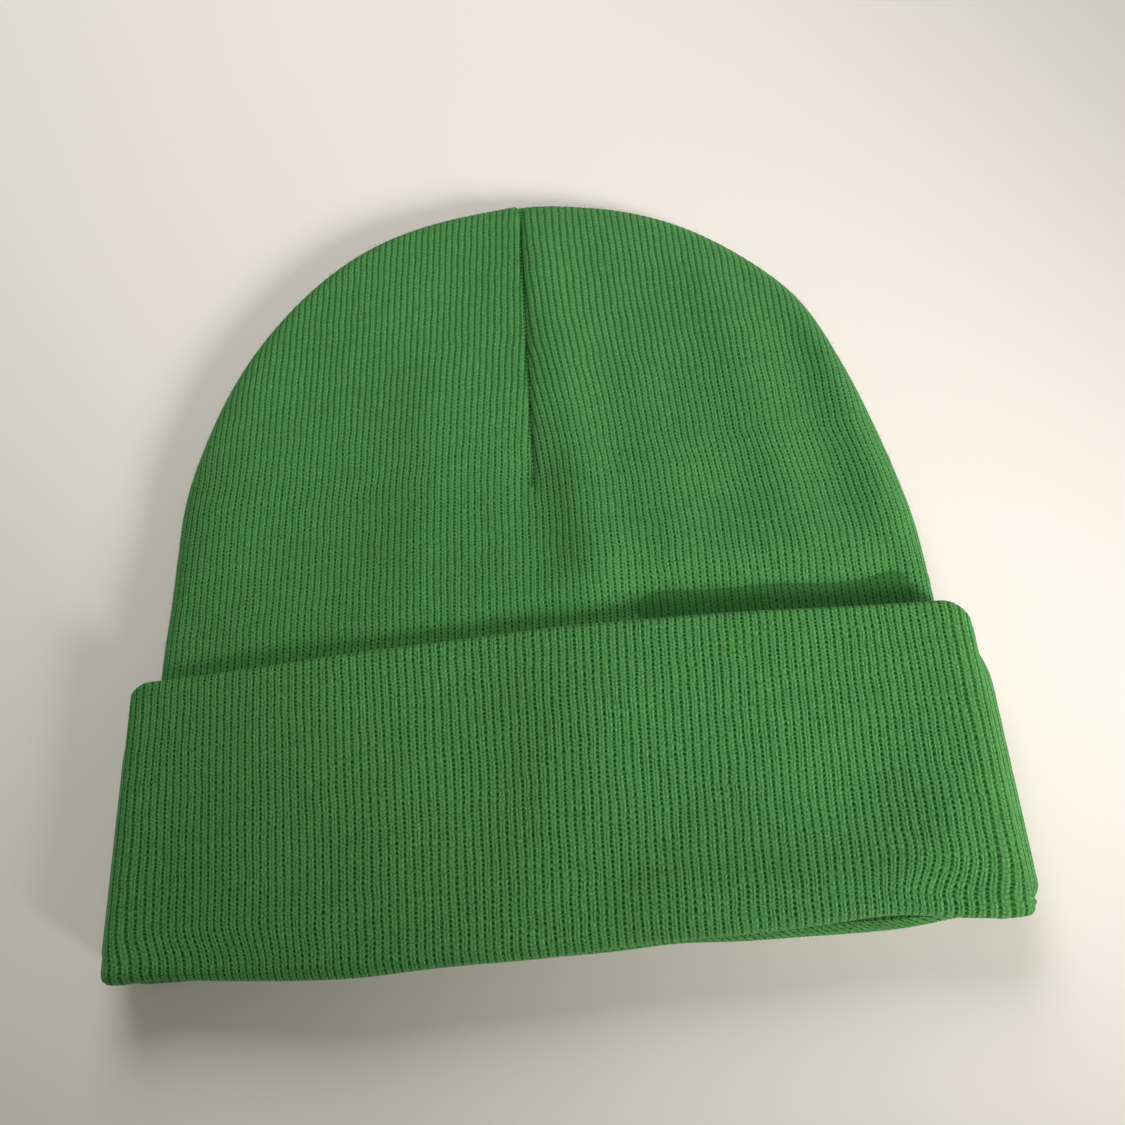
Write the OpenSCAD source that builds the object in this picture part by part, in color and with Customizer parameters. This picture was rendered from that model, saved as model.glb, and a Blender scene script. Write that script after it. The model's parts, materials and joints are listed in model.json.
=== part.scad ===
// Double-layer rib-knit beanie, lying flat on its back with the cuff turned up.
// X runs across the hat, +Y from the mouth to the crown, +Z up through the front.
// The knit is one long tube: half of it is the outer shell, the other half is
// pushed inside as the liner, and both close at the crown with four darts.

/* [Knit] */
// Thickness of one layer of knit
knit_t = 1.6; // [1.2:0.1:2]
// Gap between two layers that lie on each other
ply_gap = 0.1; // [0.05:0.05:0.2]
// Gap between the cuff and the body of the hat
cuff_gap = 0.3; // [0.2:0.1:0.6]
// Inside height of the head opening as the hat lies flat
mouth_gap = 6.2; // [5.6:0.2:10]

/* [Cuff] */
// Width of the cuff, side fold to side fold
cuff_w = 220; // [200:1:240]
// Height of the cuff, from the turning line to the rim
cuff_h = 72; // [50:1:90]
// Radius of the cuff's upper corners
cuff_corner_r = 7; // [3:1:12]

/* [Body] */
// Half width of the body where it leaves the cuff
body_half_w = 101.5; // [92:0.5:103]
// Height of the crown above the turning line
crown_y = 219.5; // [200:0.5:240]
// Height at which the sides start to curve in
shoulder_y = 94; // [90:1:120]
// Squareness of the dome's outline, 2 being an ellipse
dome_n = 2.2; // [2:0.1:2.8]
// Half thickness of the flattened crown
crown_half_t = 5.8; // [5.6:0.1:6.4]
// Length over which the thickness rounds off at the top edge
crown_round = 12; // [10:1:20]

/* [Seams] */
// Height at which the darts start
dart_y = 150; // [140:1:170]
// Gap between shell and liner at the crown, where the seams lie
crown_gap = 1.9; // [1.8:0.1:2.2]
// Width of a dart's overlocked seam
seam_w = 4; // [3:0.5:5]
// Radius of the thread tack that holds the two crowns together
tack_r = 0.8; // [0.5:0.1:0.8]

/* [Hidden] */

$fn = 48;
knit_green = [0.16, 0.47, 0.17];
liner_green = [0.14, 0.42, 0.15];
thread_green = [0.20, 0.52, 0.20];

// Two layers of knit are one ply of the doubled cloth.
ply = 2 * knit_t + ply_gap;
body_half_t = mouth_gap / 2 + ply;
mid_z = ply + cuff_gap + body_half_t;
hat_t = 2 * mid_z;

// The cuff turns about a line halfway between the cuff and the body.
turn_r = ply + cuff_gap / 2;
front_turn_z = hat_t - turn_r;
back_turn_z = turn_r;

// The hat's middle, so that the origin lies under the centre of its box.
centre_y = (crown_y - turn_r) / 2;

fold_half_w = cuff_w / 2 - 1; // half length of the folds at the mouth

settle_start = cuff_h + 3;   // the body starts to sink to the table here
settle_end = cuff_h + 45;    // and lies on it from here on
ring_points = 40;
ring_steps = 20;
edge_power = 1 / 6;          // makes the cross-section flat with round sides
seam_steps = 12;
seam_end_y = crown_y - 10;
side_seam_end_y = crown_y - 15;
side_seam_half_w = 0.9;
part_gap = 0.3;              // between the cuff and the folds at rest

function smooth(t) = let (u = min(max(t, 0), 1)) u * u * (3 - 2 * u);
function mix(a, b, t) = a + (b - a) * t;
function signed_power(v, p) = sign(v) * pow(abs(v), p);

// Gap between shell and liner: thin at the mouth, wider where the seams lie.
function layer_gap(y) = mix(ply_gap, crown_gap, smooth((y - 110) / 30));

// Height of the body's middle above the table.
function body_mid_z(y) =
    mix(mid_z, flat_half_t(y), smooth((y - settle_start) / (settle_end - settle_start)));
function flat_half_t(y) = mix(body_half_t, crown_half_t, smooth((y - 110) / 60));

// Half width of the body at height y, for a surface lying `inset` under the outside.
function half_w(y, inset) =
    let (rise = max(y - shoulder_y, 0) / (crown_y - inset - shoulder_y),
         side = mix(body_half_w, body_half_w - 1.5, smooth(y / shoulder_y)) - inset)
    side * pow(max(1 - pow(rise, dome_n), 0), 1 / dome_n);

// Half thickness of the body at height y, for a surface lying `inset` under the outside.
function half_t(y, inset) =
    let (round_len = crown_round - inset,
         u = max(y - (crown_y - crown_round), 0) / round_len)
    (flat_half_t(y) - inset) * sqrt(max(1 - u * u, 0));

// One closed cross-section of the flattened tube.
function ring(y, inset) = [
    for (i = [0 : ring_points - 1])
        let (a = 360 * i / ring_points)
        [
            half_w(y, inset) * signed_power(cos(a), edge_power),
            y,
            body_mid_z(y) + half_t(y, inset) * sin(a)
        ]
];

// Heights of the cross-sections, closer together towards the top.
function ring_y(step, low_y, top_y) = low_y + (top_y - low_y) * sin(90 * step / ring_steps);

// A knit bag, open at the mouth: an outside and an inside surface and a rim between them.
// inset_at_mouth and inset_at_crown say how deep the bag lies under the outer shell.
module knit_bag(inset_at_mouth, inset_at_crown, low_y) {
    function outside_inset(y) =
        mix(inset_at_mouth, inset_at_crown, smooth((y - 110) / 30));
    out_top = crown_y - inset_at_crown;
    in_top = out_top - knit_t;
    out_rings = [
        for (k = [0 : ring_steps - 1])
            let (y = ring_y(k, low_y, out_top)) each ring(y, outside_inset(y))
    ];
    in_rings = [
        for (k = [0 : ring_steps - 1])
            let (y = ring_y(k, low_y, in_top)) each ring(y, outside_inset(y) + knit_t)
    ];
    n = ring_points;
    count = ring_steps * n;
    out_apex = 2 * count;
    in_apex = out_apex + 1;
    last = (ring_steps - 1) * n;
    points = concat(
        out_rings, in_rings,
        [[0, out_top, body_mid_z(out_top)], [0, in_top, body_mid_z(in_top)]]
    );
    faces = concat(
        [for (k = [0 : ring_steps - 2], i = [0 : n - 1], t = [0, 1])
            let (j = (i + 1) % n, a = k * n + i, b = k * n + j, c = a + n, d = b + n)
            t == 0 ? [a, b, d] : [a, d, c]],
        [for (k = [0 : ring_steps - 2], i = [0 : n - 1], t = [0, 1])
            let (j = (i + 1) % n, a = count + k * n + i, b = count + k * n + j, c = a + n, d = b + n)
            t == 0 ? [a, d, b] : [a, c, d]],
        [for (i = [0 : n - 1]) [last + i, last + (i + 1) % n, out_apex]],
        [for (i = [0 : n - 1]) [count + last + (i + 1) % n, count + last + i, in_apex]],
        [for (i = [0 : n - 1], t = [0, 1])
            let (j = (i + 1) % n)
            t == 0 ? [i, count + i, count + j] : [i, count + j, j]]
    );
    polyhedron(points, faces);
}

module outer_shell() {
    color(knit_green) placed() knit_bag(0, 0, part_gap);
}

module inner_liner() {
    color(liner_green) placed() knit_bag(knit_t + ply_gap, knit_t + crown_gap, part_gap);
}

// Everything is drawn with Y from the turning line, then centred on the origin.
module placed() {
    translate([0, -centre_y, 0]) children();
}

// A ribbon with four-cornered cross-sections, each given as its four corners.
module ribbon(sections) {
    n = len(sections);
    faces = concat(
        [[3, 2, 1, 0]],
        [for (k = [0 : n - 2], i = [0 : 3], t = [0, 1])
            let (j = (i + 1) % 4, a = 4 * k + i, b = 4 * k + j, c = a + 4, d = b + 4)
            t == 0 ? [a, b, d] : [a, d, c]],
        [[for (i = [0 : 3]) 4 * (n - 1) + i]]
    );
    polyhedron([for (s = sections) each s], faces);
}

// Part of the space between shell and liner that a seam takes, from the shell's side.
shell_seam_span = [0.08, 0.46];
liner_seam_span = [0.54, 0.92];
shell_side_span = [0.28, 0.53];
liner_side_span = [0.6, 0.84];

function seam_inset(y, share) = knit_t + layer_gap(y) * share;
function seam_y(k, end_y) = mix(dart_y, end_y, k / seam_steps);
function seam_half_w(k) = seam_w / 2 * mix(0.4, 1, smooth(3 * k / seam_steps));

// Seam of the front (side = 1) or back (side = -1) dart.
module face_dart(side, span) {
    sections = [
        for (k = [0 : seam_steps])
            let (y = seam_y(k, seam_end_y),
                 w = seam_half_w(k),
                 high = half_t(y, seam_inset(y, span[0])),
                 low = half_t(y, seam_inset(y, span[1])),
                 mid = body_mid_z(y))
            [[-w, y, mid + low], [w, y, mid + low], [w, y, mid + high], [-w, y, mid + high]]
    ];
    mirrored = [for (s = sections) [for (p = s) [p.x, p.y, 2 * body_mid_z(p.y) - p.z]]];
    ribbon(side > 0 ? sections : [for (s = mirrored) [s[3], s[2], s[1], s[0]]]);
}

// Seam of the right (side = 1) or left (side = -1) dart, inside the side fold.
module side_dart(side, span) {
    sections = [
        for (k = [0 : seam_steps])
            let (y = seam_y(k, side_seam_end_y),
                 shell_x = half_w(y, seam_inset(y, 0)),
                 liner_x = half_w(y, seam_inset(y, 1)),
                 far_x = mix(shell_x, liner_x, span[0]),
                 near_x = mix(shell_x, liner_x, span[1]),
                 mid = body_mid_z(y),
                 w = side_seam_half_w)
            [[near_x, y, mid - w], [far_x, y, mid - w], [far_x, y, mid + w], [near_x, y, mid + w]]
    ];
    mirrored = [for (s = sections) [for (p = s) [-p.x, p.y, p.z]]];
    ribbon(side > 0 ? sections : [for (s = mirrored) [s[3], s[2], s[1], s[0]]]);
}

module shell_front_dart_seam() { color(thread_green) placed() face_dart(1, shell_seam_span); }
module shell_back_dart_seam() { color(thread_green) placed() face_dart(-1, shell_seam_span); }
module shell_left_dart_seam() { color(thread_green) placed() side_dart(-1, shell_side_span); }
module shell_right_dart_seam() { color(thread_green) placed() side_dart(1, shell_side_span); }
module liner_front_dart_seam() { color(thread_green) placed() face_dart(1, liner_seam_span); }
module liner_back_dart_seam() { color(thread_green) placed() face_dart(-1, liner_seam_span); }
module liner_left_dart_seam() { color(thread_green) placed() side_dart(-1, liner_side_span); }
module liner_right_dart_seam() { color(thread_green) placed() side_dart(1, liner_side_span); }

// Thread that ties the liner's crown to the shell's.
module crown_tack() {
    length = crown_gap - 0.9;
    middle_y = crown_y - knit_t - crown_gap / 2 - 0.1;
    color(thread_green) placed()
        translate([0, middle_y, body_mid_z(crown_y)])
            rotate([90, 0, 0]) cylinder(r = tack_r, h = length, center = true);
}

// Half of a tube of cloth along X: the doubled knit turning back on itself at the mouth.
module turn_fold(turn_z) {
    rotate([90, 0, 90])
        translate([0, turn_z, -fold_half_w])
            linear_extrude(2 * fold_half_w)
                difference() {
                    circle(r = turn_r);
                    circle(r = cuff_gap / 2);
                    translate([0, -turn_r]) square(2 * turn_r);
                }
}

module front_turn_fold() { color(knit_green) placed() turn_fold(front_turn_z); }
module back_turn_fold() { color(knit_green) placed() turn_fold(back_turn_z); }

// Outline of a cuff half seen from the front, with its upper corners rounded.
module cuff_outline() {
    hull() {
        for (side = [-1, 1]) {
            translate([side * (cuff_w / 2 - cuff_corner_r), cuff_h - cuff_corner_r])
                circle(r = cuff_corner_r);
            translate([side * (cuff_w / 2 - 1) - 1, part_gap]) square([2, 1]);
        }
    }
}

// Space that a cuff half may fill, lying from z = 0 up, with its ends rounded over at the top.
module cuff_space() {
    intersection() {
        linear_extrude(ply) cuff_outline();
        rotate([90, 0, 0])
            translate([0, 0, -cuff_h - 1])
                linear_extrude(cuff_h + 2)
                    hull() {
                        translate([-cuff_w / 2, 0]) square([cuff_w, 0.2]);
                        for (side = [-1, 1])
                            translate([side * (cuff_w / 2 - ply + 0.2), 0.2])
                                intersection() {
                                    circle(r = ply - 0.2);
                                    translate([-ply, 0]) square(2 * ply);
                                }
                    }
    }
}

// Outside layer of the cuff, rolled over at the rim to meet the inner layer.
module cuff_face_layer() {
    rim_y = cuff_h - ply / 2;
    intersection() {
        cuff_space();
        rotate([90, 0, 90])
            translate([0, 0, -cuff_w / 2 - 1])
                linear_extrude(cuff_w + 2) {
                    translate([part_gap, knit_t + ply_gap]) square([rim_y - part_gap, knit_t]);
                    intersection() {
                        translate([rim_y, ply / 2])
                            difference() {
                                circle(r = ply / 2);
                                circle(r = ply_gap / 2);
                            }
                        translate([rim_y, 0]) square([ply, ply]);
                    }
                }
    }
}

// Inner layer of the cuff, against the body of the hat.
module cuff_inner_layer() {
    intersection() {
        cuff_space();
        translate([-cuff_w / 2, part_gap, 0])
            cube([cuff_w, cuff_h - ply / 2 - ply_gap - part_gap, knit_t]);
    }
}

module front_place() { placed() translate([0, 0, hat_t - ply]) children(); }
module back_place() { placed() translate([0, 0, ply]) mirror([0, 0, 1]) children(); }

module cuff_front_face() { color(knit_green) front_place() cuff_face_layer(); }
module cuff_front_inner() { color(liner_green) front_place() cuff_inner_layer(); }
module cuff_back_face() { color(knit_green) back_place() cuff_face_layer(); }
module cuff_back_inner() { color(liner_green) back_place() cuff_inner_layer(); }

// Doubled cloth that joins the front and back of the cuff at one side, bulging outwards.
module side_fold() {
    half_z = mid_z - ply - part_gap;
    bulge = 0.8;
    bulge_r = (half_z * half_z + bulge * bulge) / (2 * bulge);
    rotate([90, 0, 0])
        translate([0, 0, -cuff_h + cuff_corner_r])
            linear_extrude(cuff_h - cuff_corner_r - part_gap)
                intersection() {
                    translate([cuff_w / 2 - bulge_r, mid_z]) circle(r = bulge_r, $fn = 96);
                    translate([cuff_w / 2 - ply, mid_z - half_z]) square([ply, 2 * half_z]);
                }
}

module cuff_right_side_fold() { color(knit_green) placed() side_fold(); }
module cuff_left_side_fold() { color(knit_green) placed() mirror([1, 0, 0]) side_fold(); }

outer_shell();
inner_liner();
shell_front_dart_seam();
shell_back_dart_seam();
shell_left_dart_seam();
shell_right_dart_seam();
liner_front_dart_seam();
liner_back_dart_seam();
liner_left_dart_seam();
liner_right_dart_seam();
crown_tack();
front_turn_fold();
back_turn_fold();
cuff_front_face();
cuff_front_inner();
cuff_back_face();
cuff_back_inner();
cuff_left_side_fold();
cuff_right_side_fold();
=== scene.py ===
# Looks of a double-layer rib-knit beanie that lies on its back with its cuff turned up.
# Lengths are in millimetres while a piece is shaped: X across the hat, Y from the line where the cuff
# turns, Z up from the table. to_row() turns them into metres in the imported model's frame.

import json
import math

import bmesh
import bpy
import numpy as np
from mathutils import Matrix, Vector, kdtree


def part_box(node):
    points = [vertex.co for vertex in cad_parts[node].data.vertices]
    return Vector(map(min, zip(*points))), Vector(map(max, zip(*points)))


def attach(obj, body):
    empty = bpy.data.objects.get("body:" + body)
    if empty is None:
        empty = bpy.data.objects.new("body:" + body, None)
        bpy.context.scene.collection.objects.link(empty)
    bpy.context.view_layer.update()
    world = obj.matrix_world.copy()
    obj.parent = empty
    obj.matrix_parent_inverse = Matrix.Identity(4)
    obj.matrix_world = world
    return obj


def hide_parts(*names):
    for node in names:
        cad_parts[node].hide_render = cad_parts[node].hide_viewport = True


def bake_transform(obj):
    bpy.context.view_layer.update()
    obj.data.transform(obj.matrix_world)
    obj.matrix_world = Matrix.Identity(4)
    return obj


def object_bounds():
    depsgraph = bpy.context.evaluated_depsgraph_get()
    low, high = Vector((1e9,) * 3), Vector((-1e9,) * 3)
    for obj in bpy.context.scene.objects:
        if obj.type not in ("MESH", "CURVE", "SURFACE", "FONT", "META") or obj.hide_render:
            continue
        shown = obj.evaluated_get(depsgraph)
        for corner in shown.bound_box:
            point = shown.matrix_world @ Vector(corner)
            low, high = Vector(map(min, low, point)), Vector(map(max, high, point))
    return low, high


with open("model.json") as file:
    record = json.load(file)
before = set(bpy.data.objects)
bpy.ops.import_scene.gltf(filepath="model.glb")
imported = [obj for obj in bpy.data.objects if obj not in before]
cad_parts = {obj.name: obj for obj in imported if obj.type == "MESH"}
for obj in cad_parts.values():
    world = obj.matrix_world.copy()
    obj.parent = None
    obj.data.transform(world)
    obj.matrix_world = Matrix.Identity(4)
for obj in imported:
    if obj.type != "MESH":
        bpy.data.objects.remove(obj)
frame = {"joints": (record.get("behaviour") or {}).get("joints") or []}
cad_low, cad_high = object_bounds()

# ---- Sizes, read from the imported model
MM = 0.001
TURN_Y = next(j["pos_m"][1] for j in frame["joints"] if j["name"] == "cuff_turn")
HAT_T = cad_high.z / MM
MID_Z = HAT_T / 2
CROWN_Y = (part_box("outer_shell")[1].y - TURN_Y) / MM
BODY_HALF_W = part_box("outer_shell")[1].x / MM
BODY_HALF_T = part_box("outer_shell")[1].z / MM - MID_Z
CUFF_HALF_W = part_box("cuff_front_inner")[1].x / MM
CUFF_H = (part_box("cuff_front_face")[1].y - TURN_Y) / MM
CUFF_IN_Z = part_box("cuff_front_inner")[0].z / MM
PLY = HAT_T - CUFF_IN_Z

# The knit: a wale is one rib, a course is one row of stitches.
BODY_WALE = 1.84
CUFF_WALE = 1.96
COURSE = 1.13
CROWN_COURSE = 1.34

# The dome's outline and the sinking of the crown to the table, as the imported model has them.
SHOULDER_Y = 94.0
DOME_N = 2.2
CROWN_HALF_T = 5.8
SETTLE_FROM = CUFF_H + 3
SETTLE_TO = CUFF_H + 45
CROWN_LEAN = -2.4       # the crown lies a little to the left
DART_X = 1.5            # where the front dart runs
DART_FROM = 121.0       # height at which its seam starts
UNDER_CUFF = CUFF_H - 6  # height at which the shell is split, out of sight under the cuff
RIBS_AT = 10.0          # height at which the body's ribs have their named width
RIBS_EVEN_TO = 128.0    # the ribs share the body's width up to here
NO_LIMIT = 999.0        # above every rib's top


def smooth(t):
    t = np.clip(t, 0, 1)
    return t * t * (3 - 2 * t)


def mix(a, b, t):
    return a + (b - a) * t


def bump(x, y, at, size, height):
    """A soft round swelling (or hollow, if height is negative) centred at `at`."""
    return height * np.exp(-((x - at[0]) / size[0]) ** 2 - ((y - at[1]) / size[1]) ** 2)


def ridge(x, y, start, end, width, height):
    """A soft ridge or valley along the line from start to end."""
    start, end = np.array(start, float), np.array(end, float)
    along = end - start
    length = np.hypot(*along)
    t = ((x - start[0]) * along[0] + (y - start[1]) * along[1]) / length**2
    off = ((x - start[0]) * along[1] - (y - start[1]) * along[0]) / length
    ends = smooth((t + 0.25) / 0.4) * smooth((1.25 - t) / 0.4)
    return height * ends * np.exp(-((off / width) ** 2))


def ripple(x, y, seed, size, height, count=7):
    """Gentle unevenness: a few waves of about that size in random directions."""
    rng = np.random.default_rng(seed)
    total = np.zeros(np.broadcast(x, y).shape)
    for _ in range(count):
        angle, phase = rng.uniform(0, math.tau, 2)
        wave = math.tau / (size * rng.uniform(0.7, 1.6))
        total = total + np.sin((x * math.cos(angle) + y * math.sin(angle)) * wave + phase)
    return total * height / math.sqrt(count / 2)


def to_row(points):
    """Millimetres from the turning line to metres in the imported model's frame."""
    out = np.array(points, float) * MM
    out[:, 1] += TURN_Y
    return out


def show(name, data):
    """A new object for the data, in the scene."""
    thing = bpy.data.objects.new(name, data)
    bpy.context.scene.collection.objects.link(thing)
    return thing


def shade_smooth(mesh):
    mesh.polygons.foreach_set("use_smooth", np.ones(len(mesh.polygons), bool))


# ---- Cloth meshes
RIB_PHASES = (0.0, 0.24, 0.5, 0.76)  # a groove, one leg of the stitch, its middle, the other leg
RIB_DEPTH = 0.25
HOLE_DEPTH = 0.28
MIDDLE_DEPTH = 0.10
LEG_SWING = 0.05


def rib_columns(first, last, per_rib=4):
    """Places of the mesh's columns, counted in ribs, from `first` to `last` whole ribs."""
    phases = {4: RIB_PHASES, 2: (0.0, 0.5), 1: (0.5,)}[per_rib]
    return np.array([k + p for k in range(first, last) for p in phases] + [last])


def swing(wale, course, stretch):
    """Sideways swing of a stitch's legs, which rounds the holes between the ribs, in ribs."""
    phase = wale - np.floor(wale)
    first_leg = (phase > 0.1) & (phase < 0.4)
    second_leg = (phase > 0.6) & (phase < 0.9)
    side = first_leg.astype(float) - second_leg
    return side * LEG_SWING * np.cos(math.tau * course) * stretch


def relief(wale, course, stretch):
    """Depth of the knit's surface: grooves between ribs, and holes where the cloth is stretched."""
    to_groove = np.abs(wale - np.round(wale))
    to_hole = np.abs(course - np.round(course))
    groove = 1 - smooth(to_groove / 0.24)
    hole = groove * (1 - smooth(to_hole / 0.5))
    middle = smooth((to_groove - 0.25) / 0.25)
    between = RIB_DEPTH * groove * (1 - 0.8 * stretch)
    return -(between + HOLE_DEPTH * stretch * hole + MIDDLE_DEPTH * middle * stretch)


def unevenness(wale, course, size):
    """How far a stitch strays from its even place, in ribs and in courses."""
    x, y = wale * size, course * COURSE
    return (ripple(x, y, 43, 7.0, 0.022) + ripple(x, y, 44, 2.6, 0.014),
            ripple(x, y, 41, 12, 0.34) + ripple(x, y, 42, 4.2, 0.14))


class Patch:
    """A piece of knit in the making: where each vertex lies on the cloth, and the faces between them."""

    def __init__(self):
        self.wale, self.course, self.faces = [], [], []

    def add_columns(self, wales, courses, tops, flip=False):
        """Columns of vertices at `wales`, with a vertex at every course below their tops, and at the top."""
        starts, lengths, base = [], [], sum(len(w) for w in self.wale)
        for wale, top in zip(wales, tops):
            own = np.append(courses[courses < top - 0.3], top)
            starts.append(base)
            lengths.append(len(own))
            base += len(own)
            self.wale.append(np.full(len(own), wale))
            self.course.append(own)
        for i in range(len(wales) - 1):
            self.join(starts[i], lengths[i], starts[i + 1], lengths[i + 1], flip)

    def join(self, a, len_a, b, len_b, flip):
        """Faces between two columns that start at a and b, with a fan where one is longer."""
        shared = min(len_a, len_b)
        new = [(a + j, b + j, b + j + 1, a + j + 1) for j in range(shared - 1)]
        new += [(a + shared - 1, b + j, b + j + 1) for j in range(shared - 1, len_b - 1)]
        new += [(a + j, b + shared - 1, a + j + 1) for j in range(shared - 1, len_a - 1)]
        self.faces += [f[::-1] for f in new] if flip else new

    def make(self, name, place, stretch_of, depth=1.0, weld=False):
        """The piece as an object: place(wale, course) is its smooth shape, and the relief goes on top."""
        wale, course = np.concatenate(self.wale), np.concatenate(self.course)
        stretch = stretch_of(wale, course)
        points = place(wale + swing(wale, course, stretch), course)
        stray_wale, stray_course = unevenness(wale, course, CUFF_WALE)
        mesh = bpy.data.meshes.new(name)
        mesh.from_pydata(to_row(points).tolist(), [], self.faces)
        knit = mesh.attributes.new("knit", "FLOAT_VECTOR", "POINT")
        counts = np.stack([wale + stray_wale, course + stray_course, stretch], 1)
        knit.data.foreach_set("vector", counts.astype(np.float32).ravel())
        if weld:
            weld_close(mesh)
        press_relief(mesh, depth)
        shade_smooth(mesh)
        mesh.update()
        return show(name, mesh)


def weld_close(mesh):
    """Joins vertices that lie in one place, such as those of two halves along their common column."""
    work = bmesh.new()
    work.from_mesh(mesh)
    bmesh.ops.remove_doubles(work, verts=work.verts, dist=2e-6)
    work.to_mesh(mesh)
    work.free()


def press_relief(mesh, depth):
    """Moves each vertex along its normal by the knit's relief there."""
    count = len(mesh.vertices)
    knit, points, normals = (np.zeros(count * 3, np.float32) for _ in range(3))
    mesh.attributes["knit"].data.foreach_get("vector", knit)
    mesh.vertices.foreach_get("co", points)
    mesh.vertices.foreach_get("normal", normals)
    wale, course, stretch = knit.reshape(-1, 3).astype(float).T
    rise = relief(wale, course, stretch) * depth * MM
    moved = points.reshape(-1, 3) + normals.reshape(-1, 3) * rise[:, None]
    mesh.vertices.foreach_set("co", moved.astype(np.float32).ravel())


# ---- The body of the hat: a flat tube whose sides fold over, closed by a dome
def half_thickness(y):
    return mix(BODY_HALF_T, CROWN_HALF_T, smooth((y - 110) / 60))


def middle_z(y):
    return mix(MID_Z, half_thickness(y), smooth((y - SETTLE_FROM) / (SETTLE_TO - SETTLE_FROM)))


def dome_half_width(y, inset):
    rise = np.clip((y - SHOULDER_Y) / (CROWN_Y - inset - SHOULDER_Y), 0, 1)
    side = mix(BODY_HALF_W, BODY_HALF_W - 1.5, smooth(y / SHOULDER_Y)) - inset
    return side * np.maximum(1 - rise**DOME_N, 0) ** (1 / DOME_N)


def outward(line):
    """Directions square to a line, outwards."""
    way = np.gradient(line, axis=0)
    way /= np.hypot(*way.T)[:, None]
    return np.stack([-way[:, 1], way[:, 0]], 1)


def crown_swell(x, y):
    """The knitted crown is a little fuller than an even dome, most of all at its shoulders."""
    full = 0.7 * smooth((y - 140) / 40) + bump(x, y, (-48, 210), (26, 26), 1.2)
    return full + bump(x, y, (80, 174), (17, 18), 1.2) + bump(x, y, (5, 221), (11, 14), 0.9)


class Outline:
    """The body's outline seen from the front, and the larger one of its cloth pressed flat."""

    def __init__(self, inset):
        s = np.linspace(0, 1, 4000)
        y = (CROWN_Y - inset) - (CROWN_Y + 60) * (1 - s) ** 2
        half = dome_half_width(y, inset)
        right = np.stack([half, y], 1)
        left = np.stack([-half, y], 1)
        line = np.concatenate([left, right[-2::-1]])
        step = np.r_[0, np.cumsum(np.hypot(*np.diff(line, axis=0).T))]
        even = np.arange(0, step[-1], 0.4)
        line = np.stack([np.interp(even, step, line[:, k]) for k in (0, 1)], 1)
        line[:, 0] += CROWN_LEAN * smooth((line[:, 1] - 90) / 45)
        line += outward(line) * crown_swell(*line.T)[:, None]
        self.out = outward(line)
        self.edge_t = half_thickness(line[:, 1]) - inset
        self.line = line
        self.flat = line + self.out * (self.edge_t * (math.pi / 2 - 1))[:, None]
        self.tree = kdtree.KDTree(len(line))
        for i, (x, y) in enumerate(self.flat):
            self.tree.insert((x, y, 0), i)
        self.tree.balance()
        self.apex = int(np.argmax(self.flat[:, 1]))

    def reach(self, line, y, side):
        """X of a line round the hat at height y, on the right (side 1) or the left (side -1)."""
        part = line[self.apex:][::-1] if side > 0 else line[: self.apex + 1]
        return np.interp(y, part[:, 1], part[:, 0])

    def fold(self, x, y):
        """Folds flat cloth over the outline: its place seen from the front, the angle it has turned
        (90 degrees on the flat), and its distance from the edge."""
        near = np.array([self.tree.find((a, b, 0))[1] for a, b in zip(x, y)])
        best = np.full(len(x), 1e9)
        spot, out, t = np.zeros((len(x), 2)), np.zeros((len(x), 2)), np.zeros(len(x))
        points = np.stack([x, y], 1)
        for shift in (-1, 0):
            i = np.clip(near + shift, 0, len(self.flat) - 2)
            a, b = self.flat[i], self.flat[i + 1]
            share = np.clip(((points - a) * (b - a)).sum(1) / ((b - a) ** 2).sum(1), 0, 1)[:, None]
            foot = a + (b - a) * share
            far = np.hypot(*(points - foot).T)
            closer = far < best
            best = np.where(closer, far, best)
            for target, values in ((spot, self.line), (out, self.out)):
                target[closer] = (values[i] + (values[i + 1] - values[i]) * share)[closer]
            t[closer] = self.edge_t[i][closer]
        angle = np.clip(best / t, 0, math.pi / 2)
        on_edge = spot - out * (t * (1 - np.cos(angle)))[:, None]
        edge = best < t * math.pi / 2
        place = np.where(edge[:, None], on_edge, points)
        return place[:, 0], place[:, 1], angle, best


def front_shape(x, y):
    """How the front of the body stands above or below an even surface."""
    dart = smooth((y - DART_FROM + 6) / 16) * smooth((CROWN_Y - y) / 4)
    off = np.abs(x - DART_X)
    wide = np.where(x > DART_X, 0.9, 6.5)
    crease = -0.9 * dart * np.exp(-off / 0.9)
    valley = 0.6 * smooth((y - 112) / 12) * smooth((CROWN_Y - 4 - y) / 20) * np.exp(-((off / wide) ** 2))
    return (
        crease - valley
        + ridge(x, y, (0.5, 126), (3, 92), 8, -1.0)
        + ridge(x, y, (6, 200), (18, 86), 9, 2.5)
        + ridge(x, y, (32, 150), (37, 92), 9, 1.2)
        + ridge(x, y, (57, 178), (71, 97), 8, 1.2)
        + ridge(x, y, (76, 165), (82, 95), 9, -1.5)
        + ridge(x, y, (85, 165), (95, 98), 7, 1.4)
        + ridge(x, y, (-25, 165), (-31, 96), 11, 1.4)
        + ridge(x, y, (-80, 165), (-89, 100), 13, 1.6)
        + ridge(x, y, (22, 80), (97, 75), 9.0, -4.2)
        + ridge(x, y, (-90, 74), (15, 78), 6, -1.2)
        + ripple(x, y, 5, 34, 0.12)
    )


def back_shape(x, y):
    """The back lies on the table, so it is nearly even, with a shallow dart."""
    dart = smooth((y - DART_FROM) / 20) * smooth((CROWN_Y - y) / 6)
    return -1.2 * dart * np.exp(-np.abs(x) / 1.3) + ripple(x, y, 8, 30, 0.12)


def plain_shape(x, y):
    return np.zeros(np.shape(x))


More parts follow.
